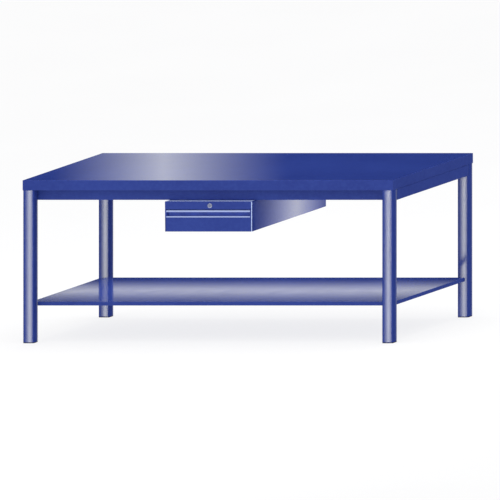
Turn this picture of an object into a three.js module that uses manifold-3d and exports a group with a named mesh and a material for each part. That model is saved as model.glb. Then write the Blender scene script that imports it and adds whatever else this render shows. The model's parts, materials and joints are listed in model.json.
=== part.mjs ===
// Steel workbench with an under-bench drawer: a steel-clad worktop on a rail frame, four
// rectangular-tube legs bolted to the front and back of that frame, a folded shelf near the floor,
// and a lockable drawer on telescopic runners in a housing hung under the rails.
// Millimetres, +X to the right, +Y to the back, +Z up. The origin is on the floor, under the centre.
import * as THREE from "three";
import { mergeVertices } from "three/addons/utils/BufferGeometryUtils.js";
import Module from "manifold-3d";

const wasm = await Module();
wasm.setup();

// ---------------------------------------------------------------- driving dimensions
const LENGTH = 2000; // worktop, left to right
const DEPTH = 750; // worktop, front to back
const HEIGHT = 880; // floor to work surface
const GAP = 0.3; // left between pieces that touch
const INSET = 1; // legs and frame sit this far inside the worktop's edges

const TOP = { height: 54, sheet: 2, lip: 20 };
const LEG = { width: 60, depth: 40, wall: 2, radius: 4 };
const PLUG = { flange: 4, insert: 26, wall: 3 };
const RAIL = { height: 60, flange: 35, sheet: 2, bend: 3.5 };
const CROSS = { height: 50, flange: 25, sheet: 2, bend: 3, x: 520 };
const SHELF = { bottom: 196, height: 20, sheet: 1.5, lip: 12, inset: 20 };
const STIFFENER = { height: 16, width: 60, sheet: 1.5, bend: 2.5, x: 620 };
const BOLT = { shank: 4, length: 20, across: 13, head: 5.3, washer: 8, collar: 1.5, hole: 4.5 };
const RAIL_BOLT_SPREAD = 15; // each rail bolt, above or below the rail's middle

// The drawer unit, from its lowest edge up and from its front back.
const UNIT = { width: 470, height: 163, depth: 694, sheet: 1.5, bend: 3, bottom: 602, setback: 6 };
const FRONT_RIM = 4; // turned in down each front edge of the housing
const HANGER = { x: 190, y: 22 }; // housing bolts: x from the middle, y in from a rail's web
const FLOOR_FLANGE = 12;
const FASCIA = { height: 43, depth: 16, bend: 2.5 };
const FRONT = { width: 458, height: 76.7, depth: 24.2, sheet: 1.5 };
const GRIP = { height: 38, depth: 23, wall: 2.5, proud: 3, upperLip: 9, lowerLip: 6.5, cap: 2.5 };
const LABEL = { height: 29, thickness: 1.6 };
const BOX = { width: 437.4, bottom: 12, wallTop: 102, frontTop: 114, rear: 634, sheet: 1.5 };
const HEM = { width: 3, height: 6 }; // folded outwards along the top of each drawer wall
const STRIKE = { width: 40, height: 23, thickness: 2, below: 1 }; // below the inner front's top edge
const LOCK = { x: 8, z: 140, flange: 13, thickness: 3, barrel: 9.5, length: 18, bore: 6.8, plug: 6.4 };
const KEYWAY = { width: 2, depth: 13, height: 8 };
const NUT = { across: 27, hole: 9.9, thickness: 5 };
const CAM = { reach: 36, boss: 8, tip: 5, thickness: 2.3, front: 21 };
const SCREW = { shank: 2, hole: 2.3, head: 4.5, headHeight: 2.8, depth: 8 };

// The runner's rolled sections. web is how far the section's back stands in from the housing's wall
// and reach how far its flanges end from it, half is half its height, lip turns its flanges' edges.
const RUNNER = {
  centre: 55,
  front: 28,
  length: 600,
  outer: { web: 0, reach: 11, sheet: 1.4, half: 22.5, lip: 2.4 },
  middle: { web: 2.2, reach: 11, sheet: 1.2, half: 18.2, lip: 0 },
  inner: { web: 12.7, reach: 4.6, sheet: 1.2, half: 13.2, lip: 0 },
};

const ROUND = 32; // sides of a round piece
const SMALL_ROUND = 20; // sides of a shank, a hole or a screw's head
const FILLET = 4; // steps in a bend's arc
const THROUGH = 20; // length of a tool that cuts a hole through one sheet

// ---------------------------------------------------------------- materials
function paint(color, roughness, metalness) {
  return new THREE.MeshStandardMaterial({ color, roughness, metalness });
}
const BLUE = paint(0x33438c, 0.35, 0.2);
const BLUE_PLASTIC = paint(0x2f3f86, 0.5, 0);
const ALUMINIUM = paint(0xb4bcd0, 0.3, 1);
const ZINC = paint(0xa6aab0, 0.35, 1);
const NICKEL = paint(0xb0b2ae, 0.25, 1);
const PLYWOOD = paint(0xb58f5f, 0.7, 0);
const BLACK_PLASTIC = paint(0x15161c, 0.55, 0);

// ---------------------------------------------------------------- outlines
// A rectangle with rounded corners, centred on the origin.
function roundedRectangle(width, height, radius, outline = new THREE.Shape()) {
  const x = width / 2 - radius;
  const y = height / 2 - radius;
  outline.absarc(x, y, radius, 0, Math.PI / 2);
  outline.absarc(-x, y, radius, Math.PI / 2, Math.PI);
  outline.absarc(-x, -y, radius, Math.PI, 1.5 * Math.PI);
  outline.absarc(x, -y, radius, 1.5 * Math.PI, 2 * Math.PI);
  return outline.closePath();
}

// A C section: the web stands on x = 0, the two flanges run to x = flange, and both bends are arcs.
function channel(height, flange, sheet, bend) {
  const inner = bend - sheet;
  const outline = new THREE.Shape();
  outline.moveTo(flange, 0);
  outline.lineTo(flange, sheet);
  outline.absarc(bend, bend, inner, 1.5 * Math.PI, Math.PI, true);
  outline.absarc(bend, height - bend, inner, Math.PI, Math.PI / 2, true);
  outline.lineTo(flange, height - sheet);
  outline.lineTo(flange, height);
  outline.absarc(bend, height - bend, bend, Math.PI / 2, Math.PI);
  outline.absarc(bend, bend, bend, Math.PI, 1.5 * Math.PI);
  return outline.closePath();
}

// Straight-sided outline through the given corners.
function polygon(corners) {
  return new THREE.Shape(corners.map(([x, y]) => new THREE.Vector2(x, y)));
}

// ---------------------------------------------------------------- solids
const X = new THREE.Vector3(1, 0, 0);
const Y = new THREE.Vector3(0, 1, 0);
const Z = new THREE.Vector3(0, 0, 1);

function extrude(outline, length) {
  return new THREE.ExtrudeGeometry(outline, {
    depth: length,
    bevelEnabled: false,
    curveSegments: FILLET,
  });
}

// The outline is drawn in (y, z), and the bar is centred on x = 0.
function barAlongX(outline, length) {
  const turn = new THREE.Matrix4().makeBasis(Y, Z, X);
  return extrude(outline, length).translate(0, 0, -length / 2).applyMatrix4(turn);
}

// The outline is drawn in (x, z), and the bar runs from y = 0 to y = length.
function barAlongY(outline, length) {
  const turn = new THREE.Matrix4().makeBasis(X, Z, Y.clone().negate());
  return extrude(outline, length).translate(0, 0, -length).applyMatrix4(turn);
}

// A block from x, y, z = 0 in depth and height, centred in x.
function block(width, depth, height) {
  return new THREE.BoxGeometry(width, depth, height).translate(0, depth / 2, height / 2);
}

// A cylinder that runs from y = 0 to y = length.
function cylinderAlongY(radius, length, sides = ROUND) {
  return new THREE.CylinderGeometry(radius, radius, length, sides).translate(0, length / 2, 0);
}

function toSolid(geometry) {
  const bare = geometry.clone().deleteAttribute("normal").deleteAttribute("uv");
  const merged = mergeVertices(bare, 1e-4);
  return new wasm.Manifold(
    new wasm.Mesh({
      numProp: 3,
      vertProperties: merged.attributes.position.array,
      triVerts: new Uint32Array(merged.index.array),
    }),
  );
}

function toGeometry(solid) {
  const mesh = solid.getMesh();
  const geometry = new THREE.BufferGeometry();
  geometry.setAttribute("position", new THREE.BufferAttribute(mesh.vertProperties, 3));
  geometry.setIndex(new THREE.BufferAttribute(mesh.triVerts, 1));
  return geometry;
}

function cut(geometry, ...tools) {
  return toGeometry(tools.reduce((solid, tool) => solid.subtract(toSolid(tool)), toSolid(geometry)));
}

function join(...geometries) {
  return toGeometry(geometries.map(toSolid).reduce((a, b) => a.add(b)));
}

// A folded tray: open downwards, with a lip turned in round the mouth. Centred in x and y, from z = 0.
function tray(width, depth, height, sheet, lip) {
  const shell = new THREE.BoxGeometry(width, depth, height).translate(0, 0, height / 2);
  const inside = new THREE.BoxGeometry(width - 2 * sheet, depth - 2 * sheet, height - 2 * sheet);
  const mouth = new THREE.BoxGeometry(width - 2 * lip, depth - 2 * lip, 3 * sheet);
  return cut(shell, inside.translate(0, 0, height / 2), mouth);
}

function part(name, geometry, material, x = 0, y = 0, z = 0) {
  const mesh = new THREE.Mesh(geometry, material);
  mesh.name = name;
  mesh.position.set(x, y, z);
  return mesh;
}

function assembly(x, y, z, ...pieces) {
  const group = new THREE.Group();
  group.position.set(x, y, z);
  return group.add(...pieces);
}

// ---------------------------------------------------------------- worktop
const TOP_UNDERSIDE = HEIGHT - TOP.height;

function worktop() {
  const inside = TOP.height - 2 * TOP.sheet;
  const clear = 2 * (TOP.sheet + GAP);
  const board = new THREE.BoxGeometry(LENGTH - clear, DEPTH - clear, inside - 2 * GAP);
  return assembly(
    0, 0, TOP_UNDERSIDE,
    part("worktop_cover", tray(LENGTH, DEPTH, TOP.height, TOP.sheet, TOP.lip), BLUE),
    part("worktop_board", board, PLYWOOD, 0, 0, TOP.height / 2),
  );
}

// ---------------------------------------------------------------- rail frame
const FRAME_LENGTH = LENGTH - 2 * INSET;
const FRAME_DEPTH = DEPTH - 2 * (INSET + LEG.depth + GAP);
const RAIL_BOTTOM = TOP_UNDERSIDE - GAP - RAIL.height;
const LEG_X = LENGTH / 2 - INSET - LEG.width / 2;
const RAIL_BOLT_Z = [-RAIL_BOLT_SPREAD, RAIL_BOLT_SPREAD].map((z) => RAIL.height / 2 + z);

// A tool that cuts a bolt hole through a sheet on the plane y = 0.
function boltHole(x, z) {
  return cylinderAlongY(BOLT.hole, THROUGH, SMALL_ROUND).translate(x, -THROUGH / 2, z);
}

// The same through a sheet on the plane z = 0.
function uprightHole(x, y) {
  return boltHole(0, 0).rotateX(Math.PI / 2).translate(x, y, 0);
}

// A C rail along X with its web to the front. The flanges stop short of the web by endCut at each end.
function rail(length, endCut, holes) {
  const bar = barAlongX(channel(RAIL.height, RAIL.flange, RAIL.sheet, RAIL.bend), length);
  const notch = block(2 * endCut, RAIL.flange, 2 * RAIL.height).translate(0, RAIL.sheet, -RAIL.height / 2);
  const ends = [-1, 1].map((side) => notch.clone().translate((side * length) / 2, 0, 0));
  return cut(bar, ...ends, ...holes);
}

function railFrame() {
  const legHoles = [-LEG_X, LEG_X].flatMap((x) => RAIL_BOLT_Z.map((z) => boltHole(x, z)));
  const hangerHoles = [-HANGER.x, HANGER.x].map((x) => uprightHole(x, HANGER.y));
  const webClear = RAIL.sheet + GAP;
  const long = rail(FRAME_LENGTH, webClear, [...legHoles, ...hangerHoles]);
  const short = rail(FRAME_DEPTH - 2 * webClear, RAIL.flange - RAIL.sheet, []);
  const front = part("front_rail", long, BLUE, 0, -FRAME_DEPTH / 2);
  const rear = part("rear_rail", long.clone(), BLUE, 0, FRAME_DEPTH / 2);
  const left = part("left_end_rail", short, BLUE, -FRAME_LENGTH / 2);
  const right = part("right_end_rail", short.clone(), BLUE, FRAME_LENGTH / 2);
  rear.rotation.z = Math.PI;
  left.rotation.z = -Math.PI / 2;
  right.rotation.z = Math.PI / 2;
  return assembly(0, 0, RAIL_BOTTOM, front, rear, left, right);
}

// Two channels from front rail to rear rail, which the worktop is screwed to.
function crossMembers() {
  const span = FRAME_DEPTH - 2 * (RAIL.bend + GAP);
  const bar = barAlongY(channel(CROSS.height, CROSS.flange, CROSS.sheet, CROSS.bend), span);
  const left = part("cross_member_left", bar, BLUE, -CROSS.x, -span / 2);
  const right = part("cross_member_right", bar.clone(), BLUE, CROSS.x - CROSS.flange, -span / 2);
  return assembly(0, 0, TOP_UNDERSIDE - CROSS.height - RAIL.sheet - 2 * GAP, left, right);
}

// ---------------------------------------------------------------- legs
const SHELF_BOLT_Z = SHELF.bottom + SHELF.height / 2;

function legTube() {
  const { width, depth, wall, radius } = LEG;
  const outline = roundedRectangle(width, depth, radius);
  const bore = roundedRectangle(width - 2 * wall, depth - 2 * wall, radius - wall, new THREE.Path());
  outline.holes.push(bore);
  const tube = extrude(outline, TOP_UNDERSIDE - 2 * GAP - PLUG.flange);
  const levels = [SHELF_BOLT_Z, ...RAIL_BOLT_Z.map((z) => RAIL_BOTTOM + z)];
  const holes = levels.map((z) => boltHole(0, z).translate(0, depth / 2, -PLUG.flange - GAP));
  return cut(tube, ...holes);
}

// Plastic end plug: a flange of the tube's outline under an open-topped cup that fits inside it.
function footPlug() {
  const { width, depth, wall, radius } = LEG;
  const clear = 2 * (wall + GAP);
  const flange = extrude(roundedRectangle(width, depth, radius), PLUG.flange);
  const insert = extrude(
    roundedRectangle(width - clear, depth - clear, radius - wall),
    PLUG.flange + PLUG.insert,
  );
  const cup = new THREE.BoxGeometry(
    width - clear - 2 * PLUG.wall,
    depth - clear - 2 * PLUG.wall,
    PLUG.insert,
  );
  return cut(join(flange, insert), cup.translate(0, 0, PLUG.flange + PLUG.wall + PLUG.insert / 2));
}

// Hexagon bolt with a collar, its axis along Y: the collar's face is at y = 0 and the shank runs to -y.
function hexBolt() {
  const corner = BOLT.across / 2 / Math.cos(Math.PI / 6);
  const collar = cylinderAlongY(BOLT.washer, BOLT.collar, 24);
  const head = cylinderAlongY(corner, BOLT.collar + BOLT.head, 6);
  const shank = cylinderAlongY(BOLT.shank, BOLT.length + BOLT.collar, SMALL_ROUND);
  shank.translate(0, -BOLT.length, 0);
  return join(collar, head, shank);
}

// One leg with its plug and its three bolts, standing at a corner with the frame behind it.
function legStation(corner, x, side) {
  const bolt = hexBolt();
  const railFace = LEG.depth / 2 + 2 * GAP + RAIL.sheet;
  const shelfFace = LEG.depth / 2 + 2 * GAP + SHELF.sheet;
  const station = assembly(
    x, side * (DEPTH / 2 - INSET - LEG.depth / 2), 0,
    part(`leg_${corner}`, legTube(), BLUE, 0, 0, PLUG.flange + GAP),
    part(`foot_plug_${corner}`, footPlug(), BLACK_PLASTIC),
    part(`shelf_bolt_${corner}`, bolt, ZINC, 0, shelfFace, SHELF_BOLT_Z),
    part(`lower_rail_bolt_${corner}`, bolt.clone(), ZINC, 0, railFace, RAIL_BOTTOM + RAIL_BOLT_Z[0]),
    part(`upper_rail_bolt_${corner}`, bolt.clone(), ZINC, 0, railFace, RAIL_BOTTOM + RAIL_BOLT_Z[1]),
  );
  station.rotation.z = side < 0 ? 0 : Math.PI;
  return station;
}

function legs() {
  return assembly(
    0, 0, 0,
    legStation("front_left", -LEG_X, -1),
    legStation("front_right", LEG_X, -1),
    legStation("rear_left", -LEG_X, 1),
    legStation("rear_right", LEG_X, 1),
  );
}

// ---------------------------------------------------------------- shelf
function shelf() {
  const holes = [-1, 1].flatMap((sideX) =>
    [-1, 1].map((sideY) =>
      boltHole(sideX * LEG_X, SHELF.height / 2).translate(0, (sideY * FRAME_DEPTH) / 2, 0),
    ),
  );
  const pan = tray(LENGTH - 2 * SHELF.inset, FRAME_DEPTH, SHELF.height, SHELF.sheet, SHELF.lip);
  const span = FRAME_DEPTH - 2 * (SHELF.sheet + GAP);
  const { width, height, sheet, bend } = STIFFENER;
  const rib = barAlongX(channel(width, height, sheet, bend), span);
  const ribBottom = SHELF.height - SHELF.sheet - GAP - height;
  const ribs = [["left", -STIFFENER.x], ["middle", 0], ["right", STIFFENER.x]].map(([side, x]) => {
    const stiffener = part(`shelf_stiffener_${side}`, rib.clone(), BLUE, x + width / 2, 0, ribBottom);
    stiffener.rotation.set(0, 0, Math.PI / 2);
    stiffener.rotateX(Math.PI / 2);
    return stiffener;
  });
  return assembly(0, 0, SHELF.bottom, part("shelf", cut(pan, ...holes), BLUE), ...ribs);
}

// ---------------------------------------------------------------- drawer housing
// Everything below is in the unit's own frame: y = 0 is the plane of the drawer front, z = 0 its
// lowest edge.
const UNIT_INSIDE = UNIT.width / 2 - UNIT.sheet;
const UNIT_FRONT = UNIT.setback - DEPTH / 2;
const BOX_FRONT = FRONT.depth + 2 * GAP + BOX.sheet;
const HANGER_Y = FRAME_DEPTH / 2 - HANGER.y;
const HANGER_SPOTS = [-1, 1].flatMap((sideY) =>
  [-1, 1].map((sideX) => [sideX * HANGER.x, sideY * HANGER_Y - UNIT_FRONT]),
);

// Top and both sides folded from one sheet, with a narrow rim turned in down each side's front edge.
function housingShell() {
  const { width, height, depth, sheet, bend } = UNIT;
  const fold = barAlongY(channel(width, height, sheet, bend), depth);
  fold.rotateY(Math.PI / 2).translate(-width / 2, 0, height);
  const edgeX = (width - FRONT_RIM) / 2;
  const edge = (side) => block(FRONT_RIM, sheet, height - bend).translate(side * edgeX, 0, 0);
  const holes = HANGER_SPOTS.map(([x, y]) => uprightHole(x, y).translate(0, 0, height));
  return cut(join(fold, edge(-1), edge(1)), ...holes);
}

// Bottom plate with a flange folded up each side for the spot welds.
function housingBottom(depth) {
  const width = 2 * (UNIT_INSIDE - GAP);
  const plate = block(width, depth, UNIT.sheet);
  const foldX = (width - UNIT.sheet) / 2;
  const fold = (side) => block(UNIT.sheet, depth, FLOOR_FLANGE).translate(side * foldX, 0, 0);
  return join(plate, fold(-1), fold(1));
}

const LOCK_RAIL_BOTTOM = UNIT.height - UNIT.sheet - GAP - FASCIA.height;

function lockRail() {
  const length = UNIT.width - 2 * (FRONT_RIM + GAP);
  const bar = barAlongX(channel(FASCIA.height, FASCIA.depth, UNIT.sheet, FASCIA.bend), length);
  const hole = cylinderAlongY(LOCK.barrel + GAP, THROUGH);
  return cut(bar, hole.translate(LOCK.x, -THROUGH / 2, LOCK.z - LOCK_RAIL_BOTTOM));
}

function housing() {
  const { depth, height, sheet } = UNIT;
  const backFront = depth - sheet;
  const back = block(2 * (UNIT_INSIDE - GAP), sheet, height - UNIT.bend - GAP);
  const bottom = housingBottom(backFront - GAP - BOX_FRONT);
  const bolts = HANGER_SPOTS.map(([x, y]) => {
    const corner = `${y < depth / 2 ? "front" : "rear"}_${x < 0 ? "left" : "right"}`;
    const bolt = part(`housing_bolt_${corner}`, hexBolt(), ZINC, x, y, height - sheet - GAP);
    bolt.rotation.x = -Math.PI / 2;
    return bolt;
  });
  return [
    part("housing_shell", housingShell(), BLUE),
    part("housing_bottom", bottom, BLUE, 0, BOX_FRONT),
    part("housing_back", back, BLUE, 0, backFront),
    part("lock_rail", lockRail(), BLUE, 0, 0, LOCK_RAIL_BOTTOM),
    ...bolts,
  ];
}

// ---------------------------------------------------------------- telescopic runners
// A member's outline in (distance in from the housing's wall, height from the runner's centre): the
// upper half, then its mirror image below.
function runnerSection({ web, reach, sheet, half, lip }) {
  const toward = Math.sign(reach - web);
  const flangeEdge = [[reach, half], [reach, half - sheet - lip]];
  if (lip) flangeEdge.push([reach - toward * sheet, half - sheet - lip]);
  if (lip) flangeEdge.push([reach - toward * sheet, half - sheet]);
  const upper = [[web, half], ...flangeEdge, [web + toward * sheet, half - sheet]];
  const lower = upper.map(([x, z]) => [x, -z]).reverse();
  return [...upper, ...lower];
}

function runner(member, side) {
  const wall = UNIT_INSIDE - GAP;
  const section = runnerSection(RUNNER[member]).map(([inward, z]) => [side * (wall - inward), z]);
  const bar = barAlongY(polygon(section), RUNNER.length);
  const name = `runner_${member}_${side < 0 ? "left" : "right"}`;
  return part(name, bar, ZINC, 0, RUNNER.front, RUNNER.centre);
}

// ---------------------------------------------------------------- drawer
// Folded front panel, open to the back.
function drawerFront() {
  const { width, height, depth, sheet } = FRONT;
  const hollow = block(width - 2 * sheet, depth, height - 2 * sheet).translate(0, sheet, sheet);
  return cut(block(width, depth, height), hollow);
}

// Extruded grip: a channel open to the front, with a tall lip above the mouth and a low one below.
function gripSection() {
  const { height, depth, wall, upperLip, lowerLip } = GRIP;
  return polygon([
    [0, 0], [depth, 0], [depth, height], [0, height],
    [0, height - upperLip], [wall, height - upperLip], [wall, height - wall],
    [depth - wall, height - wall], [depth - wall, wall], [wall, wall],
    [wall, lowerLip], [0, lowerLip],
  ]);
}

function grip() {
  const bottom = FRONT.height + GAP;
  const length = FRONT.width - 2 * (GRIP.cap + GAP);
  const cap = block(GRIP.cap, GRIP.depth, GRIP.height);
  const capX = FRONT.width / 2 - GRIP.cap / 2;
  const label = block(length - 2 * GAP, LABEL.thickness, LABEL.height);
  const labelY = GRIP.depth - GRIP.proud - GRIP.wall - GAP - LABEL.thickness;
  return [
    part("grip_channel", barAlongX(gripSection(), length), ALUMINIUM, 0, -GRIP.proud, bottom),
    part("grip_cap_left", cap, BLUE_PLASTIC, -capX, -GRIP.proud, bottom),
    part("grip_cap_right", cap.clone(), BLUE_PLASTIC, capX, -GRIP.proud, bottom),
    part("label_strip", label, BLUE_PLASTIC, 0, labelY, bottom + (GRIP.height - LABEL.height) / 2),
  ];
}

// Bottom and both side walls folded from one sheet, each wall's top edge turned outwards into a hem.
function drawerBody() {
  const { width, bottom, wallTop, sheet, rear } = BOX;
  const outer = width / 2;
  const inner = outer - sheet;
  const lip = inner + HEM.width;
  const right = [
    [outer, bottom], [outer, wallTop - HEM.height], [lip, wallTop - HEM.height],
    [lip, wallTop], [inner, wallTop], [inner, bottom + sheet],
  ];
  const left = right.map(([x, z]) => [-x, z]).reverse();
  return barAlongY(polygon([...right, ...left]), rear - BOX_FRONT);
}

function drawer() {
  const { width, bottom, wallTop, frontTop, rear, sheet } = BOX;
  const foot = bottom + sheet + GAP;
  const back = block(width - 2 * (sheet + GAP), sheet, wallTop - foot);
  const innerFront = block(width, sheet, frontTop - bottom);
  const strikeBottom = frontTop - STRIKE.below - STRIKE.height;
  const strike = block(STRIKE.width, STRIKE.thickness, STRIKE.height);
  return [
    part("drawer_front", drawerFront(), BLUE),
    ...grip(),
    part("drawer_inner_front", innerFront, BLUE, 0, FRONT.depth + GAP, bottom),
    part("drawer_body", drawerBody(), BLUE, 0, BOX_FRONT),
    part("drawer_back_wall", back, BLUE, 0, rear - sheet, foot),
    part("lock_strike", strike, ZINC, LOCK.x, BOX_FRONT + GAP, strikeBottom),
    runner("inner", -1),
    runner("inner", 1),
  ];
}

// ---------------------------------------------------------------- lock
// Pieces on the lock's axis, which runs along Y from the front of the fascia.
function lockBarrel() {
  const front = -LOCK.thickness - GAP;
  const flange = cylinderAlongY(LOCK.flange, LOCK.thickness).translate(0, front, 0);
  const barrel = cylinderAlongY(LOCK.barrel, LOCK.length + LOCK.thickness).translate(0, front, 0);
  const bore = cylinderAlongY(LOCK.bore, 4 * LOCK.length).translate(0, -2 * LOCK.length, 0);
  return cut(join(flange, barrel), bore);
}

function lockNut() {
  const corner = NUT.across / 2 / Math.cos(Math.PI / 6);
  const hole = cylinderAlongY(NUT.hole, THROUGH).translate(0, -THROUGH / 2, 0);
  return cut(cylinderAlongY(corner, NUT.thickness, 6), hole);
}

function lockPlug() {
  const front = -LOCK.thickness - 2 * GAP;
  const rear = CAM.front - GAP;
  const { width, depth, height } = KEYWAY;
  const plug = cylinderAlongY(LOCK.plug, rear - front).translate(0, front, 0);
  const keyway = block(width, 2 * depth, height).translate(0, front - depth, -height / 2);
  const screwHole = cylinderAlongY(SCREW.hole, 2 * SCREW.depth, 16).translate(0, rear - SCREW.depth, 0);
  return cut(plug, keyway, screwHole);
}

// The cam's arm points to +X when the drawer is free and turns down through 90 degrees to lock it.
function lockCam() {
  const { reach, boss, tip, thickness } = CAM;
  const outline = new THREE.Shape();
  outline.absarc(0, 0, boss, Math.PI / 2, 1.5 * Math.PI);
  outline.absarc(reach - tip, 0, tip, -Math.PI / 2, Math.PI / 2);
  outline.closePath();
  outline.holes.push(new THREE.Path().absarc(0, 0, SCREW.hole, 0, 2 * Math.PI));
  return barAlongY(outline, thickness);
}

function camScrew() {
  const head = cylinderAlongY(SCREW.head, SCREW.headHeight, SMALL_ROUND);
  const length = SCREW.depth + CAM.thickness - 1;
  const shank = cylinderAlongY(SCREW.shank, length + SCREW.headHeight, 16).translate(0, -length, 0);
  return join(head, shank);
}

function lock() {
  return assembly(
    LOCK.x, 0, LOCK.z,
    part("lock_barrel", lockBarrel(), NICKEL),
    part("lock_nut", lockNut(), ZINC, 0, UNIT.sheet + GAP),
    part("lock_plug", lockPlug(), NICKEL),
    part("lock_cam", lockCam(), ZINC, 0, CAM.front),
    part("cam_screw", camScrew(), ZINC, 0, CAM.front + CAM.thickness + GAP),
  );
}

function drawerUnit() {
  const runners = ["outer", "middle"].flatMap((member) => [runner(member, -1), runner(member, 1)]);
  return assembly(
    0, UNIT_FRONT, UNIT.bottom,
    ...housing(), ...runners, ...drawer(), lock(),
  );
}

// ---------------------------------------------------------------- the whole bench
const bench = assembly(
  0, 0, 0,
  worktop(), railFrame(), crossMembers(), legs(), shelf(), drawerUnit(),
);

export default bench;
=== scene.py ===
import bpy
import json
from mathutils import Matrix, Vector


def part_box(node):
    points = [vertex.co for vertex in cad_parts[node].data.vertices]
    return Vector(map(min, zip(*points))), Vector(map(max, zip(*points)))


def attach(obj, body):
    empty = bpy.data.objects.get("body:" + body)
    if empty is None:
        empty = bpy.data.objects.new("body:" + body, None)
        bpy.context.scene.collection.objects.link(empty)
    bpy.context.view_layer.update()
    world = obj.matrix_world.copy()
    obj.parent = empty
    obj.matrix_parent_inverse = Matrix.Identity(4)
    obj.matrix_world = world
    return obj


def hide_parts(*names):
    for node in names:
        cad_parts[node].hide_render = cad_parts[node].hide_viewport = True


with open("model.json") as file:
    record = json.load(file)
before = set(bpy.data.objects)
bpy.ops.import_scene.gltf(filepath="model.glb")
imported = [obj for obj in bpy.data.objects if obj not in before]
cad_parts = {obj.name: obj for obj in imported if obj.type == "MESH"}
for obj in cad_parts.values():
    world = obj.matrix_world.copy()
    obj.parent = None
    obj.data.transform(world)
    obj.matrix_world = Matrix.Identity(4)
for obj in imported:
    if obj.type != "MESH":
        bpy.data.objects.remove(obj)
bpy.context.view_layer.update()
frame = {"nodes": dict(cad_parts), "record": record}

# A blue steel workbench with a drawer: every node of the CAD frame gets a finished piece in its place.
# Metres, +X to the right, +Y to the back, +Z up. The origin is on the floor, under the centre.
import json
import math

import bmesh
import bpy
from mathutils import Matrix, Vector

RECORD = frame["record"]
SLOT_OF = {row["node"]: row["material_slot"] for row in RECORD["subparts"]}
BODY_OF = {node: body for body, nodes in RECORD["behaviour"]["bodies"].items() for node in nodes}
CORNERS = ("front_left", "front_right", "rear_left", "rear_right")
PIECES = {}
MM = 0.001

# ---------------------------------------------------------------- material graphs


class Graph:
    """A material's node tree, built one node at a time.

    An input is given by its name, with _ for each space, or by its number, as _0, _1 and so on.
    """

    def __init__(self, name):
        self.material = bpy.data.materials.new(name)
        self.material.use_nodes = True
        self.tree = self.material.node_tree
        self.shader = self.tree.nodes["Principled BSDF"]

    def add(self, kind, props=None, **inputs):
        node = self.tree.nodes.new(kind)
        for key, value in (props or {}).items():
            setattr(node, key, value)
        for key, value in inputs.items():
            self.feed(node, key, value)
        return node

    def feed(self, node, key, value):
        socket = node.inputs[int(key[1:])] if key[0] == "_" else node.inputs[key.replace("_", " ")]
        if isinstance(value, bpy.types.NodeSocket):
            self.tree.links.new(value, socket)
        else:
            socket.default_value = value

    def set(self, **inputs):
        for key, value in inputs.items():
            self.feed(self.shader, key, value)

    def coords(self, stretch=(1, 1, 1)):
        source = self.add("ShaderNodeTexCoord").outputs["Object"]
        return self.add("ShaderNodeMapping", Vector=source, Scale=stretch).outputs[0]

    def noise(self, scale, detail=2.0, rough=0.5, stretch=(1, 1, 1)):
        return self.add(
            "ShaderNodeTexNoise", Vector=self.coords(stretch), Scale=scale, Detail=detail, Roughness=rough
        ).outputs["Fac"]

    def remap(self, value, low, high, to_low, to_high):
        return self.add(
            "ShaderNodeMapRange",
            Value=value, From_Min=low, From_Max=high, To_Min=to_low, To_Max=to_high,
        ).outputs[0]

    def math(self, operation, a, b):
        return self.add("ShaderNodeMath", {"operation": operation}, _0=a, _1=b).outputs[0]

    def mix(self, factor, a, b):
        return self.add("ShaderNodeMix", {"data_type": "RGBA"}, _0=factor, _6=a, _7=b).outputs[2]

    def bump(self, height, strength, distance):
        return self.add("ShaderNodeBump", Height=height, Strength=strength, Distance=distance).outputs[0]

    def edges(self, radius):
        """1 where a surface turns within radius of the point, 0 on flat ground."""
        round_normal = self.add("ShaderNodeBevel", {"samples": 4}, Radius=radius).outputs[0]
        flat_normal = self.add("ShaderNodeNewGeometry").outputs["Normal"]
        dot = self.add("ShaderNodeVectorMath", {"operation": "DOT_PRODUCT"}, _0=round_normal, _1=flat_normal)
        return self.remap(dot.outputs["Value"], 1.0, 0.8, 0.0, 1.0)


def linear(r, g, b):
    """An sRGB colour from 0 to 255 as linear RGBA."""
    def channel(c):
        c /= 255
        return c / 12.92 if c <= 0.04045 else ((c + 0.055) / 1.055) ** 2.4
    return (channel(r), channel(g), channel(b), 1.0)


BLUE = linear(46, 64, 141)
BLUE_DEEP = linear(42, 59, 134)
BLUE_PALE = linear(54, 74, 152)
BLUE_WORN = linear(120, 135, 190)


def enamel(name, roughness, level, peel, scuffed, coat=0.0):
    """Stoved enamel on steel: faint colour drift, orange peel, paler worn edges, small scuffs."""
    g = Graph(name)
    drift = g.remap(g.noise(3.1, 4.0), 0.35, 0.65, 0.0, 1.0)
    grain = g.remap(g.noise(55.0, 3.0), 0.4, 0.7, 0.0, 0.35)
    colour = g.mix(drift, BLUE_DEEP, BLUE)
    colour = g.mix(grain, colour, BLUE_PALE)
    wear = g.math("MULTIPLY", g.edges(0.0012), g.remap(g.noise(40.0, 5.0), 0.35, 0.7, 0.1, 0.55))
    colour = g.mix(wear, colour, BLUE_WORN)
    scuffs = g.remap(g.noise(18.0, 8.0, 0.65), 0.62, 0.8, 0.0, scuffed)
    skin = g.bump(g.noise(420.0, 2.0), peel, 0.0004)
    rough = g.math("ADD", g.remap(g.noise(9.0, 4.0), 0.3, 0.7, roughness - 0.02, roughness + 0.02), scuffs)
    g.set(Base_Color=colour, Roughness=rough, Normal=skin, Specular_IOR_Level=level)
    g.set(Coat_Weight=coat, Coat_Roughness=0.08, Coat_IOR=1.5)
    return g.material


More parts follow.
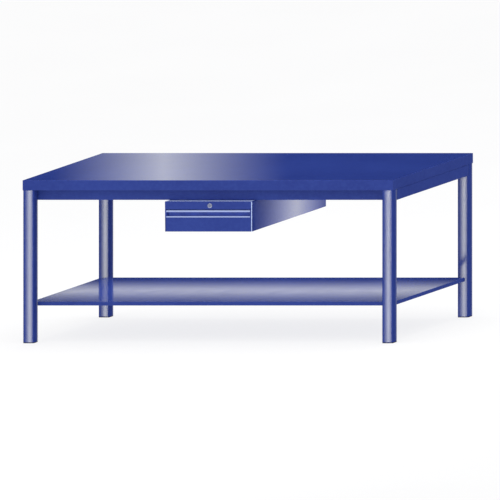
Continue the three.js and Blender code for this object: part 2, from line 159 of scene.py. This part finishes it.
def zinc(name):
    """Bright zinc plate: pale spangle, fine drawn lines and a faint blue cast."""
    g = Graph(name)
    spangle = g.add("ShaderNodeTexVoronoi", Vector=g.coords(), Scale=260.0).outputs["Color"]
    tone = g.add("ShaderNodeSeparateColor", Color=spangle).outputs[0]
    colour = g.mix(tone, linear(158, 163, 172), linear(196, 200, 206))
    lines = g.noise(300.0, 3.0, 0.6, (1, 0.02, 1))
    g.set(Base_Color=colour, Metallic=1.0, Roughness=g.remap(g.noise(60.0, 4.0), 0.3, 0.7, 0.26, 0.42))
    g.set(Normal=g.bump(lines, 0.15, 0.0003))
    return g.material


def aluminium(name):
    """Satin anodised extrusion with fine lines along its length."""
    g = Graph(name)
    lines = g.noise(900.0, 3.0, 0.6, (0.004, 1, 1))
    colour = g.mix(g.remap(lines, 0.3, 0.7, 0.0, 1.0), linear(160, 176, 226), linear(180, 194, 238))
    g.set(Base_Color=colour, Metallic=0.35, Roughness=g.remap(lines, 0.3, 0.7, 0.3, 0.42))
    g.set(Normal=g.bump(lines, 0.12, 0.0002))
    return g.material


def nickel(name):
    """Satin nickel with turning marks."""
    g = Graph(name)
    marks = g.noise(1500.0, 3.0, 0.6, (1, 0.1, 1))
    colour = g.mix(g.remap(marks, 0.3, 0.7, 0.0, 1.0), linear(160, 168, 200), linear(182, 189, 214))
    g.set(Base_Color=colour, Metallic=0.9, Roughness=g.remap(marks, 0.3, 0.7, 0.2, 0.3))
    g.set(Normal=g.bump(marks, 0.08, 0.0002))
    return g.material


def plastic(name, dark, pale):
    """Moulded plastic with a fine spark-eroded texture."""
    g = Graph(name)
    texture = g.noise(1800.0, 2.0, 0.6)
    colour = g.mix(g.remap(g.noise(30.0, 4.0), 0.35, 0.65, 0.0, 1.0), dark, pale)
    g.set(Base_Color=colour, Roughness=g.remap(texture, 0.3, 0.7, 0.44, 0.58))
    g.set(Normal=g.bump(texture, 0.2, 0.0003), Specular_IOR_Level=0.35)
    return g.material


def highlight_paint(name):
    """Painted highlight: a pale, faintly blue, matt colour with a soft spangle, put where light catches the
    housing's top strip and right rim.
    """
    g = Graph(name)
    spangle = g.add("ShaderNodeTexVoronoi", Vector=g.coords(), Scale=180.0).outputs["Color"]
    tone = g.add("ShaderNodeSeparateColor", Color=spangle).outputs[0]
    g.set(Base_Color=g.mix(tone, linear(180, 198, 250), linear(196, 214, 255)), Metallic=0.1)
    g.set(Roughness=g.remap(tone, 0.0, 1.0, 0.45, 0.6), Normal=g.bump(g.noise(700.0, 3.0), 0.1, 0.0002))
    return g.material


def plywood(name):
    """Plywood: long grain on the faces, alternate light and dark plies through the edge."""
    g = Graph(name)
    grain = g.noise(30.0, 6.0, 0.65, (0.05, 1, 1))
    rings = g.add(
        "ShaderNodeTexWave", {"wave_type": "BANDS", "bands_direction": "Y"},
        Vector=g.coords((0.5, 7, 1)), Scale=1.0, Distortion=16.0, Detail=4.0, Detail_Scale=0.7,
    ).outputs["Fac"]
    height = g.add("ShaderNodeSeparateXYZ", Vector=g.coords()).outputs["Z"]
    plies = g.math("PINGPONG", g.math("MULTIPLY", height, 330.0), 1.0)
    face = g.mix(rings, linear(188, 150, 100), linear(203, 168, 118))
    face = g.mix(g.remap(grain, 0.35, 0.7, 0.0, 0.6), face, linear(150, 108, 66))
    colour = g.mix(g.remap(plies, 0.3, 0.7, 0.0, 0.35), face, linear(128, 90, 56))
    g.set(Base_Color=colour, Roughness=g.remap(grain, 0.3, 0.7, 0.6, 0.8), Normal=g.bump(grain, 0.3, 0.0006))
    return g.material


SHEET_BLUE = enamel("enamel_sheet", roughness=0.42, level=0.15, peel=0.12, scuffed=0.12)
TOP_BLUE = enamel("enamel_top", roughness=0.13, level=0.45, peel=0.04, scuffed=0.05)
SIDE_BLUE = enamel("enamel_side", roughness=0.14, level=0.5, peel=0.05, scuffed=0.04)
TUBE_BLUE = enamel("enamel_tube", roughness=0.12, level=0.9, peel=0.06, scuffed=0.06, coat=0.5)
# The pale colour for the housing's top strip and right rim is a painted highlight.
HIGHLIGHT_PAINT = highlight_paint("painted_highlight")
MATERIALS = {
    "blue_enamel": SHEET_BLUE,
    "zinc_plate": zinc("zinc"),
    "grip_aluminium": aluminium("anodised"),
    "nickel": nickel("satin_nickel"),
    "blue_plastic": plastic("blue_plastic", linear(56, 76, 162), linear(64, 86, 178)),
    "black_plastic": plastic("black_plastic", linear(26, 27, 34), linear(38, 39, 46)),
    "plywood": plywood("plywood"),
}

# ---------------------------------------------------------------- mesh helpers
BEVEL_ANGLE = math.radians(35)
ARC_STEPS = 4


def cad_mesh(node):
    """The CAD node's own shape as a bmesh, with the triangles of each flat face joined up."""
    source = frame["nodes"][node].data
    bm = bmesh.new()
    verts = [bm.verts.new(v.co) for v in source.vertices]
    for polygon in source.polygons:
        bm.faces.new([verts[i] for i in polygon.vertices])
    bmesh.ops.remove_doubles(bm, verts=bm.verts, dist=0.01 * MM)
    bmesh.ops.dissolve_limit(
        bm, angle_limit=math.radians(0.5), verts=bm.verts, edges=bm.edges, use_dissolve_boundaries=False
    )
    return bm


def add_piece(node, bm, material=None, bevel=0.0, segments=2):
    """Makes bm the object that stands for this CAD node and rides on its body."""
    name = node + "_shown"
    mesh = bpy.data.meshes.new(name)
    bmesh.ops.recalc_face_normals(bm, faces=bm.faces)
    for face in bm.faces:
        face.smooth = True
    bm.to_mesh(mesh)
    bm.free()
    mesh.materials.append(material or MATERIALS[SLOT_OF[node]])
    piece = bpy.data.objects.new(name, mesh)
    bpy.context.scene.collection.objects.link(piece)
    if bevel:
        modifier = piece.modifiers.new("bevel", "BEVEL")
        modifier.width = bevel
        modifier.segments = segments
        modifier.limit_method = "ANGLE"
        modifier.angle_limit = BEVEL_ANGLE
        modifier.harden_normals = True
    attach(piece, BODY_OF[node])
    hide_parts(node)
    PIECES[node] = piece
    return piece


def loft(rings, loop=False, bm=None):
    """Quads between rings of equal length. The ends are closed, or joined to each other for a loop."""
    bm = bm or bmesh.new()
    rows = [[bm.verts.new(point) for point in ring] for ring in rings]
    following = rows[1:] + rows[:1] if loop else rows[1:]
    for low, high in zip(rows, following):
        count = len(low)
        for i in range(count):
            k = (i + 1) % count
            bm.faces.new((low[i], low[k], high[k], high[i]))
    if not loop:
        bm.faces.new(rows[0])
        bm.faces.new(rows[-1])
    return bm


def carve(body, cutter):
    """The body with the cutter taken out of it. Both are bmeshes, and both are used up."""
    objects = []
    for name, bm in (("body", body), ("cutter", cutter)):
        bmesh.ops.recalc_face_normals(bm, faces=bm.faces)
        mesh = bpy.data.meshes.new(name)
        bm.to_mesh(mesh)
        bm.free()
        obj = bpy.data.objects.new(name, mesh)
        bpy.context.scene.collection.objects.link(obj)
        objects.append(obj)
    cut = objects[0].modifiers.new("cut", "BOOLEAN")
    cut.object = objects[1]
    cut.solver = "EXACT"
    bpy.context.view_layer.update()
    shaped = objects[0].evaluated_get(bpy.context.evaluated_depsgraph_get())
    result = bmesh.new()
    result.from_mesh(shaped.data)
    for obj in objects:
        bpy.data.objects.remove(obj)
    return result


def direction(degrees):
    angle = math.radians(degrees)
    return Vector((math.cos(angle), math.sin(angle)))


def outline(width, depth, radius, crown=0.0, steps=8):
    """A rounded rectangle in millimetres whose sides bulge by crown towards their middles."""
    signs = ((1, 1), (-1, 1), (-1, -1), (1, -1))
    centres = [Vector((sx * (width / 2 - radius), sy * (depth / 2 - radius))) for sx, sy in signs]
    points = []
    for turn, centre in enumerate(centres):
        start_angle = 90 * turn
        turns = [start_angle + 90 * i / ARC_STEPS for i in range(ARC_STEPS + 1)]
        points += [centre + radius * direction(angle) for angle in turns]
        start = points[-1].copy()
        end = centres[(turn + 1) % 4] + radius * direction(start_angle + 90)
        points += [start.lerp(end, i / steps) for i in range(1, steps)]
    bulged = []
    for x, y in points:
        bulged.append(Vector((
            x * (1 - 2 * crown / width * (2 * y / depth) ** 2),
            y * (1 - 2 * crown / depth * (2 * x / width) ** 2),
        )))
    return bulged


def ring_at(points, centre, height, inset=0.0):
    """The outline as a ring round centre (metres), at a height in metres, shrunk by inset millimetres."""
    ring = []
    for point in points:
        scale = (1 - inset / point.length) * MM
        ring.append(Vector((centre.x + point.x * scale, centre.y + point.y * scale, height)))
    return ring


def turned(profile, sides=32, shape=None):
    """Rings round +Z from (radius, height) pairs in millimetres.

    A pair with a third item has its ring bent out of round by shape(radius, angle).
    """
    rings = []
    for radius, height, *bent in profile:
        ring = []
        for i in range(sides):
            angle = 2 * math.pi * i / sides
            r = shape(radius, angle) if bent else radius
            ring.append(Vector((r * math.cos(angle), r * math.sin(angle), height)) * MM)
        rings.append(ring)
    return rings


def hexagon(across):
    """A radius function that cuts a ring down to a hexagon of that size across its flats."""
    def cut(radius, angle):
        turn = (angle + math.pi / 6) % (math.pi / 3) - math.pi / 6
        return min(radius, across / 2 / math.cos(turn))
    return cut


def place(rings, origin, toward):
    """Rings made round +Z, turned so that +Z points toward, and moved to origin."""
    turn = Vector(toward).to_track_quat("Z", "Y").to_matrix()
    return [[turn @ point + origin for point in ring] for ring in rings]


def flat_rings(points, levels):
    """The same outline, in millimetres, at each (scale, height) of levels."""
    return [[Vector((x * scale, y * scale, z)) * MM for x, y in points] for scale, z in levels]


# ---------------------------------------------------------------- legs
LEG_SIZE = (60, 40)
LEG_WALL = 2
LEG_ROUND = 3.3
LEG_CROWN = 0.9
LEG_STEPS = 12
PLUG_CLEAR = 0.3
PLUG_WALL = 3


def leg_outline(inset, radius):
    """The tube's outline, moved in by inset millimetres on every side."""
    width, depth = LEG_SIZE
    return outline(width - 2 * inset, depth - 2 * inset, radius, LEG_CROWN, LEG_STEPS)


def leg(corner):
    """A tube with gently crowned faces, as rolled box section has, and a small chamfer at each end."""
    node = "leg_" + corner
    low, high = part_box(node)
    centre = (low + high) / 2
    outer = leg_outline(0, LEG_ROUND)
    inner = leg_outline(LEG_WALL, 1.5)
    chamfer = 0.5
    support = 1.5 * MM
    rings = [
        ring_at(outer, centre, low.z, chamfer),
        ring_at(outer, centre, low.z + chamfer * MM),
        ring_at(outer, centre, low.z + support),
        ring_at(outer, centre, centre.z),
        ring_at(outer, centre, high.z - support),
        ring_at(outer, centre, high.z - chamfer * MM),
        ring_at(outer, centre, high.z, chamfer),
        ring_at(inner, centre, high.z),
        ring_at(inner, centre, low.z),
    ]
    add_piece(node, loft(rings, loop=True), TUBE_BLUE)


def foot_plug(corner):
    """The end plug: a flange of the tube's outline with a soft lower edge, and the cup inside the tube."""
    node = "foot_plug_" + corner
    low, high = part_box(node)
    centre = (low + high) / 2
    flange = leg_outline(0, LEG_ROUND)
    insert = leg_outline(LEG_WALL + PLUG_CLEAR, 2.5)
    cup = leg_outline(LEG_WALL + PLUG_CLEAR + PLUG_WALL, 2.0)
    levels = [
        (flange, 0.0, 1.6), (flange, 0.5, 0.5), (flange, 1.4, 0.0), (flange, 3.6, 0.0), (flange, 4.0, 0.4),
        (insert, 4.0, 0.0), (insert, 29.0, 0.0), (insert, 30.0, 0.8), (cup, 30.0, 0.0), (cup, 7.0, 0.0),
    ]
    add_piece(node, loft([ring_at(points, centre, low.z + z * MM, inset) for points, z, inset in levels]))


# ---------------------------------------------------------------- bolts
BOLT_HEAD = 6.8


def screw_thread(start, turns, pitch, rise, root, crest):
    """A zigzag profile that reads as a thread, from its lowest root up. Each crest is rise above its root."""
    profile = []
    for turn in range(turns):
        height = start + turn * pitch
        profile += [(root, height), (crest, height + rise)]
    return profile


def bolt(node, toward):
    """Flanged hexagon bolt, M8: its head points toward, with its collar where the CAD bolt's collar sits."""
    low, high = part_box(node)
    half = max(high - low) / 2
    seat = (low + high) / 2 + Vector(toward) * (half - BOLT_HEAD * MM)
    profile = [
        (3.0, -20.0), *screw_thread(-19.4, turns=12, pitch=1.25, rise=0.6, root=3.45, crest=4.0),
        (4.0, -3.0), (4.0, 0.0), (7.7, 0.0), (8.0, 0.3), (8.0, 0.7), (7.2, 1.5),
        (7.45, 1.5, "hex"), (7.45, 5.6, "hex"), (7.0, 6.1, "hex"),
        (6.2, 6.75), (5.0, BOLT_HEAD), (4.4, 6.3), (1.0, 6.2),
    ]
    add_piece(node, loft(place(turned(profile, 36, hexagon(13)), seat, toward)))


# ---------------------------------------------------------------- lock
FORWARD = (0, -1, 0)
BACKWARD = (0, 1, 0)


def lock_barrel():
    """Round rosette with a soft rim and a turned step, and the barrel behind it."""
    low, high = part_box("lock_barrel")
    front = Vector(((low.x + high.x) / 2, low.y, (low.z + high.z) / 2))
    back = (high.y - low.y) / MM
    profile = [
        (6.8, 0.6), (7.4, 0.0), (9.2, 0.0), (9.6, 0.35), (10.6, 0.35), (12.2, 0.9), (12.9, 1.8), (13.0, 2.6),
        (12.7, 3.0), (9.5, 3.0), (9.5, back - 0.6), (9.0, back), (7.2, back), (6.8, back - 0.4),
    ]
    add_piece("lock_barrel", loft(place(turned(profile, 48), front, BACKWARD), loop=True))


def lock_nut():
    """Chamfered hexagon nut behind the lock rail."""
    low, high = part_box("lock_nut")
    half = (high.y - low.y) / 2 / MM
    profile = [
        (9.9, -half + 0.5), (10.6, -half), (13.0, -half), (15.5, -half + 0.9, "hex"),
        (15.5, half - 0.9, "hex"), (13.0, half), (10.6, half), (9.9, half - 0.5),
    ]
    rings = place(turned(profile, 48, hexagon(27)), (low + high) / 2, BACKWARD)
    add_piece("lock_nut", loft(rings, loop=True))


def lock_plug():
    """The turning core: a soft front rim, a fine turned ring, and a warded keyway."""
    low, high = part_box("lock_plug")
    front = Vector(((low.x + high.x) / 2, low.y, (low.z + high.z) / 2))
    length = (high.y - low.y) / MM
    screw_depth = 8
    profile = [
        (2.3, screw_depth - length), (2.3, 0.3 - length), (2.6, -length), (6.0, -length), (6.4, 0.4 - length),
        (6.4, -0.5), (6.25, -0.15), (5.9, 0.0), (5.2, 0.0), (5.05, -0.2), (4.8, -0.2), (4.65, 0.0),
    ]
    keyway = [
        (-1, -4), (1, -4), (1, -1), (0.4, -0.5), (0.4, 1), (1, 1.5),
        (1, 4), (-1, 4), (-1, 2.2), (-0.5, 1.8), (-0.5, 0.3), (-1, -0.2),
    ]
    core = loft(place(turned(profile, 48), front, FORWARD))
    slot = loft(place(flat_rings(keyway, ((1, -13), (1, 1))), front, FORWARD))
    add_piece("lock_plug", carve(core, slot), bevel=0.12 * MM, segments=1)


def cam_screw():
    """Pan-head screw with a cross recess, its thread in the plug."""
    low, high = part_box("cam_screw")
    head = 2.8
    seat = Vector(((low.x + high.x) / 2, high.y - head * MM, (low.z + high.z) / 2))
    length = (high.y - low.y) / MM - head
    profile = [
        (1.4, -length), *screw_thread(0.4 - length, turns=10, pitch=0.7, rise=0.35, root=1.7, crest=2.0),
        (2.0, -1.0), (2.0, 0.0), (4.3, 0.0), (4.5, 0.3), (4.45, 1.3), (3.9, 2.1), (2.8, 2.65), (1.2, head),
    ]
    half, reach = 0.5, 2.3
    arm = [(half, reach), (-half, reach), (-half, half)]
    cross = arm + [(-y, x) for x, y in arm]
    cross += [(-x, -y) for x, y in cross]
    body = loft(place(turned(profile), seat, BACKWARD))
    recess = loft(place(flat_rings(cross, ((0.55, 1.1), (1, 2.5), (1, 3.5))), seat, BACKWARD))
    add_piece("cam_screw", carve(body, recess))


# ---------------------------------------------------------------- telescopic runners
# Sheet, turned-in lip and ball race of each member. A race above 0 holds its balls inside the flange.
MEMBERS = {"outer": (1.4, 2.4, 0.6), "middle": (1.2, 0.0, 0.0), "inner": (1.2, 0.0, -0.5)}
ROLLED_BEND = 2.0
LIP_BEND = 0.8
BEND_STEPS = 5
ROUND_HOLE = (6, 6, 2.9)
LONG_HOLE = (16, 5, 2.4)
HOLES = ((0.06, ROUND_HOLE), (0.25, LONG_HOLE), (0.5, ROUND_HOLE), (0.75, LONG_HOLE), (0.94, ROUND_HOLE))


def bend(centre, radius, start):
    """A quarter turn of a middle line, anticlockwise from the start angle."""
    turns = [start + 90 * i / BEND_STEPS for i in range(BEND_STEPS + 1)]
    return [centre + radius * direction(angle) for angle in turns]


def strip(middle_line, sheet):
    """The outline of a folded strip of this thickness, from the line through its middle."""
    near, far = [], []
    last = len(middle_line) - 1
    for i, point in enumerate(middle_line):
        along = (middle_line[min(i + 1, last)] - middle_line[max(i - 1, 0)]).normalized()
        across = Vector((-along.y, along.x)) * sheet / 2
        near.append(point + across)
        far.append(point - across)
    return near + far[::-1]


def member_section(depth, half, sheet, lip, race):
    """A member's outline in (distance from its web's back, height from its middle), in millimetres."""
    level = half - sheet / 2
    web = sheet / 2
    upper = []
    flange_end = depth
    if lip:
        lip_x = depth - sheet / 2
        upper.append(Vector((lip_x, half - sheet - lip)))
        upper += bend(Vector((lip_x - LIP_BEND, level - LIP_BEND)), LIP_BEND, 0)
        flange_end = lip_x - 1.0
    bend_end = web + ROLLED_BEND + 0.2
    steps = 12
    for i in range(steps + 1):
        # A race above 0 draws the flange in at both its ends, one below 0 draws it in half-way along.
        wave = (1 + math.copysign(1, race) * math.cos(2 * math.pi * i / steps)) / 2
        x = flange_end + (bend_end - flange_end) * i / steps
        upper.append(Vector((x, level - abs(race) * wave)))
    upper += bend(Vector((web + ROLLED_BEND, upper[-1].y - ROLLED_BEND)), ROLLED_BEND, 90)
    lower = [Vector((p.x, -p.y)) for p in reversed(upper)]
    return strip(upper + lower, sheet)


def runner(member, side):
    """One rolled member of a telescopic runner, with its fixing holes."""
    node = f"runner_{member}_{side}"
    low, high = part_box(node)
    outward = 1 if side == "right" else -1
    toward = outward if member == "inner" else -outward
    web_x = low.x if toward > 0 else high.x
    middle = (low.z + high.z) / 2
    depth = (high.x - low.x) / MM
    section = member_section(depth, (high.z - low.z) / 2 / MM, *MEMBERS[member])
    rings = []
    for y in (low.y, high.y):
        rings.append([Vector((web_x + toward * p.x * MM, y, middle + p.y * MM)) for p in section])
    holes = bmesh.new()
    for share, shape in HOLES:
        hole_y = low.y + share * (high.y - low.y)
        hole = []
        for x in (web_x - 3 * MM, web_x + 3 * MM):
            hole.append([Vector((x, hole_y + p.x * MM, middle + p.y * MM)) for p in outline(*shape, 0.0, 1)])
        loft(hole, bm=holes)
    add_piece(node, carve(loft(rings), holes))


# ---------------------------------------------------------------- drawer housing
HOUSING_ROUND = 3.4
# Width of the right rim that carries the painted highlight.
HIGHLIGHT_RIM = 4.2
RAIL_GAP = 0.3
TOUCH = 0.1 * MM


def round_front_corners(bm, low, high):
    """Rounds the two upright front edges of a folded shell that fills the box from low to high."""
    corners = []
    for edge in bm.edges:
        a, b = edge.verts[0].co, edge.verts[1].co
        outside = min(abs(a.x), abs(b.x)) > high.x - TOUCH
        in_front = max(a.y, b.y) < low.y + TOUCH
        upright = abs(a.z - b.z) > 50 * MM
        if outside and in_front and upright:
            corners.append(edge)
    bmesh.ops.bevel(bm, geom=corners, offset=HOUSING_ROUND * MM, segments=6, profile=0.5, affect="EDGES")
    bmesh.ops.remove_doubles(bm, verts=bm.verts, dist=0.3 * MM)
    bmesh.ops.dissolve_degenerate(bm, edges=bm.edges, dist=0.05 * MM)


def housing_shell():
    """Folded shell with rounded front corners. Its top in front of the rail and its right rim carry a painted
    highlight, a pale colour standing for light caught by those edges.
    """
    bm = cad_mesh("housing_shell")
    low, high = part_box("housing_shell")
    rail_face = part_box("front_rail")[0].y - RAIL_GAP * MM
    everything = bm.verts[:] + bm.edges[:] + bm.faces[:]
    bmesh.ops.bisect_plane(bm, geom=everything, plane_co=(0, rail_face, 0), plane_no=(0, 1, 0))
    rim = high.x - HIGHLIGHT_RIM * MM
    bm.normal_update()
    front = [f for f in bm.faces if f.normal.y < -0.99 and f.verts[0].co.y < low.y + TOUCH]
    borders = {item for face in front for item in (*face.verts, *face.edges)}
    bmesh.ops.bisect_plane(bm, geom=[*borders, *front], plane_co=(rim, 0, 0), plane_no=(1, 0, 0))
    round_front_corners(bm, low, high)
    piece = add_piece("housing_shell", bm, SIDE_BLUE, 0.4 * MM)
    # Second material: a painted highlight on the top strip in front of the rail and on the right rim only.
    piece.data.materials.append(HIGHLIGHT_PAINT)
    for polygon in piece.data.polygons:
        at, facing = polygon.center, polygon.normal
        on_top = facing.z > 0.99 and at.z > high.z - 0.5 * MM and at.y < rail_face
        on_rim = facing.y < -0.3 and at.x > rim
        if on_top or on_rim:
            polygon.material_index = 1


# ---------------------------------------------------------------- folded, cut and moulded pieces
FINE_BEVEL = (0.35, 2)
BEVELS = {"worktop_cover": (1.2, 3), "drawer_front": (0.7, 3), "grip_channel": (0.5, 2)}


def dress(node):
    """The CAD node's own shape with its edges rounded off."""
    width, segments = BEVELS.get(node, FINE_BEVEL)
    return add_piece(node, cad_mesh(node), None, width * MM, segments)


def polish_top(piece):
    """Gives the piece's topmost upward faces the smoother enamel of a work surface."""
    piece.data.materials.append(TOP_BLUE)
    top = max(v.co.z for v in piece.data.vertices)
    for polygon in piece.data.polygons:
        if polygon.normal.z > 0.99 and polygon.center.z > top - 0.5 * MM:
            polygon.material_index = 1


# ---------------------------------------------------------------- every piece
for corner in CORNERS:
    leg(corner)
    foot_plug(corner)
    inward = BACKWARD if corner.startswith("front") else FORWARD
    for kind in ("shelf_bolt_", "lower_rail_bolt_", "upper_rail_bolt_"):
        bolt(kind + corner, inward)
    bolt("housing_bolt_" + corner, (0, 0, -1))
lock_nut()
lock_barrel()
lock_plug()
cam_screw()
for member in MEMBERS:
    runner(member, "left")
    runner(member, "right")
housing_shell()
for node in sorted(set(frame["nodes"]) - set(PIECES)):
    dress(node)
polish_top(PIECES["worktop_cover"])
polish_top(PIECES["shelf"])

# ---------------------------------------------------------------- stage
WHITE = (1.0, 1.0, 1.0, 1)
WARM = (1.0, 0.99, 0.82, 1)
COOL = (0.9, 1.0, 2.0, 1)


def hide_from(obj, *rays):
    for ray in rays:
        setattr(obj, "visible_" + ray, False)


def link(obj, only):
    """Lets the light reach only these pieces."""
    group = bpy.data.collections.new(obj.name + "_receivers")
    for piece in only:
        group.objects.link(piece)
    obj.light_linking.receiver_collection = group


def stage_mesh(name, mesh, material):
    obj = bpy.data.objects.new(name, mesh)
    mesh.materials.append(material)
    bpy.context.scene.collection.objects.link(obj)
    return obj


def quad(name, corners, material):
    mesh = bpy.data.meshes.new(name)
    mesh.from_pydata(corners, [], [(0, 1, 2, 3)])
    return stage_mesh(name, mesh, material)


def dome(name, radius, material):
    bm = bmesh.new()
    bmesh.ops.create_uvsphere(bm, u_segments=48, v_segments=24, radius=1.0)
    mesh = bpy.data.meshes.new(name)
    bm.to_mesh(mesh)
    bm.free()
    obj = stage_mesh(name, mesh, material)
    obj.scale = (radius, radius, radius)
    return obj


def floor():
    g = Graph("floor")
    tone = g.remap(g.noise(1.3, 3.0), 0.3, 0.7, 0.0, 1.0)
    g.set(Base_Color=g.mix(tone, (0.19, 0.19, 0.195, 1), (0.2, 0.2, 0.205, 1)), Roughness=0.9)
    g.set(Specular_IOR_Level=0.1, Emission_Color=WHITE, Emission_Strength=0.8)
    size = 60
    corners = [(-size, -size, 0), (size, -size, 0), (size, size, 0), (-size, size, 0)]
    hide_from(quad("floor", corners, g.material), "glossy")


def backdrop():
    """Plain white all round, for the camera alone, so that the floor has no horizon."""
    g = Graph("backdrop")
    g.set(Base_Color=(0, 0, 0, 1), Specular_IOR_Level=0.0, Emission_Color=WHITE, Emission_Strength=1.0)
    g.material.cycles.emission_sampling = "NONE"
    hide_from(dome("backdrop", 45, g.material), "diffuse", "glossy", "shadow", "transmission")


def emitter(g, strength, colour, obj, only=()):
    """Makes obj a clear light that is seen only in reflections, by every piece or only by those given."""
    g.tree.nodes.remove(g.shader)
    emission = g.add("ShaderNodeEmission", Color=colour, Strength=strength)
    clear = g.add("ShaderNodeBsdfTransparent")
    both = g.add("ShaderNodeAddShader", _0=emission.outputs[0], _1=clear.outputs[0])
    g.tree.links.new(both.outputs[0], g.tree.nodes["Material Output"].inputs[0])
    g.material.cycles.emission_sampling = "NONE"
    hide_from(obj, "camera", "diffuse", "shadow", "transmission")
    if only:
        link(obj, only)


def card(name, corners, strength, along, peak, only, edge=WHITE, middle=WARM):
    """A panel of light: brightest at peak (0 to 1 across it), and dark and of another tint at both edges."""
    g = Graph(name)
    place_on_card = g.add("ShaderNodeTexCoord").outputs["Generated"]
    across = g.add("ShaderNodeSeparateXYZ", Vector=place_on_card).outputs[along]
    rise = g.remap(across, 0.0, peak, 0.0, 1.0)
    fall = g.remap(across, peak, 1.0, 1.0, 0.0)
    ramp = g.math("MINIMUM", rise, fall)
    curve = 0.68
    light = g.math("MULTIPLY", ramp, g.math("ADD", g.math("MULTIPLY", ramp, curve), 1 - curve))
    obj = quad(name, corners, g.material)
    emitter(g, g.math("MULTIPLY", light, strength), g.mix(ramp, edge, middle), obj, only)


def upright_card(name, left, right, low, high, y, **light):
    corners = [(left, y, low), (right, y, low), (right, y, high), (left, y, high)]
    card(name, corners, **light)


def far_lamp(name, azimuth, half_angle, strength, only):
    """A tall strip of light far away in one direction, so that every leg reflects it alike."""
    far = 300.0
    toward = direction(azimuth).to_3d() * far
    side = direction(azimuth + 90).to_3d() * far * math.tan(math.radians(half_angle))
    low, high = Vector((0, 0, -0.55 * far)), Vector((0, 0, 0.4 * far))
    corners = [toward - side + low, toward + side + low, toward + side + high, toward - side + high]
    along = "X" if abs(side.x) > abs(side.y) else "Y"
    card(name, corners, strength, along, 0.5, only)


def surround(name, radius, level, above, below, only=()):
    """A far dome seen only in reflections: one light at the level of the bench, others above and below."""
    g = Graph(name)
    sphere = g.add("ShaderNodeTexCoord").outputs["Object"]
    height = g.add("ShaderNodeSeparateXYZ", Vector=sphere).outputs["Z"]
    light = g.math("ADD", g.remap(height, 0.5, 0.9, level, above), g.remap(height, -0.25, -0.6, 0.0, below))
    emitter(g, light, WHITE, dome(name, radius, g.material), only)


def soft_box(name, energy, size, origin, target, only=()):
    """A soft light for matt colour: it is not seen itself, nor in reflections."""
    lamp = bpy.data.lights.new(name, "AREA")
    lamp.shape = "RECTANGLE"
    lamp.energy = energy
    lamp.size, lamp.size_y = size
    box = bpy.data.objects.new(name, lamp)
    box.location = origin
    box.rotation_euler = (Vector(target) - Vector(origin)).to_track_quat("-Z", "Y").to_euler()
    hide_from(box, "camera", "glossy")
    bpy.context.scene.collection.objects.link(box)
    if only:
        link(box, only)


def studio():
    """Soft light from all round, and a few soft boxes."""
    world = bpy.data.worlds.new("studio")
    bpy.context.scene.world = world
    world.use_nodes = True
    background = world.node_tree.nodes["Background"]
    background.inputs["Color"].default_value = WHITE
    background.inputs["Strength"].default_value = 0.85
    world.cycles_visibility.glossy = False
    soft_box("key", 25, (3, 3), (2.5, -3.0, 4.0), (0, 0, 0.4))
    soft_box("overhead", 62, (3, 2), (0, 0, 3.5), (0, 0, 0))
    soft_box("front_fill", 48, (4, 1.5), (0, -5, 0.3), (0, 0, 0.6))
    soft_box("strip_fill", 6, (1.6, 0.3), (0, -1.6, 2.1), (0, -0.35, 0.76), [PIECES["housing_shell"]])
    soft_box("shelf_fill", 7, (1.9, 0.6), (0, 0, 0.58), (0, 0, 0), [PIECES["shelf"]])


def reflections():
    """The lights that show as soft bands on the worktop, the shelf, the housing's side and the legs."""
    metals = [
        piece for node, piece in PIECES.items()
        if SLOT_OF[node] in ("zinc_plate", "nickel", "grip_aluminium")
    ]
    legs = [PIECES["leg_" + corner] for corner in CORNERS]
    # The drawing's rear right leg stays bright down to the shelf, so the legs don't mirror the shelf.
    hide_from(PIECES["shelf"], "glossy")
    surround("surround", radius=40, level=0.002, above=1.1, below=0.3)
    surround("surround_metal", radius=38, level=0.5, above=0.6, below=0.3, only=metals)
    upright_card(
        "card_worktop", left=-2.209, right=-0.945, low=0.9, high=4.0, y=2.0,
        strength=1.1, along="X", peak=0.475, only=[PIECES["worktop_cover"]],
    )
    upright_card(
        "card_shelf", left=-1.5, right=1.1, low=0.24, high=0.36, y=0.4,
        strength=1.35, along="Z", peak=0.52, only=[PIECES["shelf"]],
    )
    upright_card(
        "card_side", left=0.236, right=0.7, low=0.3, high=0.85, y=0.45,
        strength=5.2, along="X", peak=0.5, only=[PIECES["housing_shell"]], edge=COOL, middle=WHITE,
    )
    far_lamp("lamp_front", azimuth=241.6, half_angle=6.1, strength=5.85, only=legs)
    far_lamp("lamp_back", azimuth=71, half_angle=10, strength=1.2, only=legs)


# How far the drawing runs to the right and up for each metre of depth.
SHEAR_RIGHT = 0.576
SHEAR_UP = 0.197
VIEW_WIDTH = 2.699
VIEW_CENTRE = Vector((0.228, -0.375, 0.504))


def camera():
    """A parallel camera in oblique projection: the front keeps its true shape and depth runs up and right."""
    data = bpy.data.cameras.new("camera")
    data.type = "ORTHO"
    data.ortho_scale = VIEW_WIDTH
    cam = bpy.data.objects.new("camera", data)
    rig = bpy.data.objects.new("camera_rig", None)
    for obj in (cam, rig):
        bpy.context.scene.collection.objects.link(obj)
    distance = 6
    place_at = VIEW_CENTRE + distance * Vector((SHEAR_RIGHT, -1, SHEAR_UP))
    cam.parent = rig
    cam.matrix_parent_inverse = Matrix((
        (1, 0, SHEAR_RIGHT, place_at.x),
        (0, 0, -1, place_at.y),
        (0, 1, SHEAR_UP, place_at.z),
        (0, 0, 0, 1),
    ))
    bpy.context.scene.camera = cam


floor()
backdrop()
studio()
reflections()
camera()
bpy.context.scene.view_settings.view_transform = "Standard"
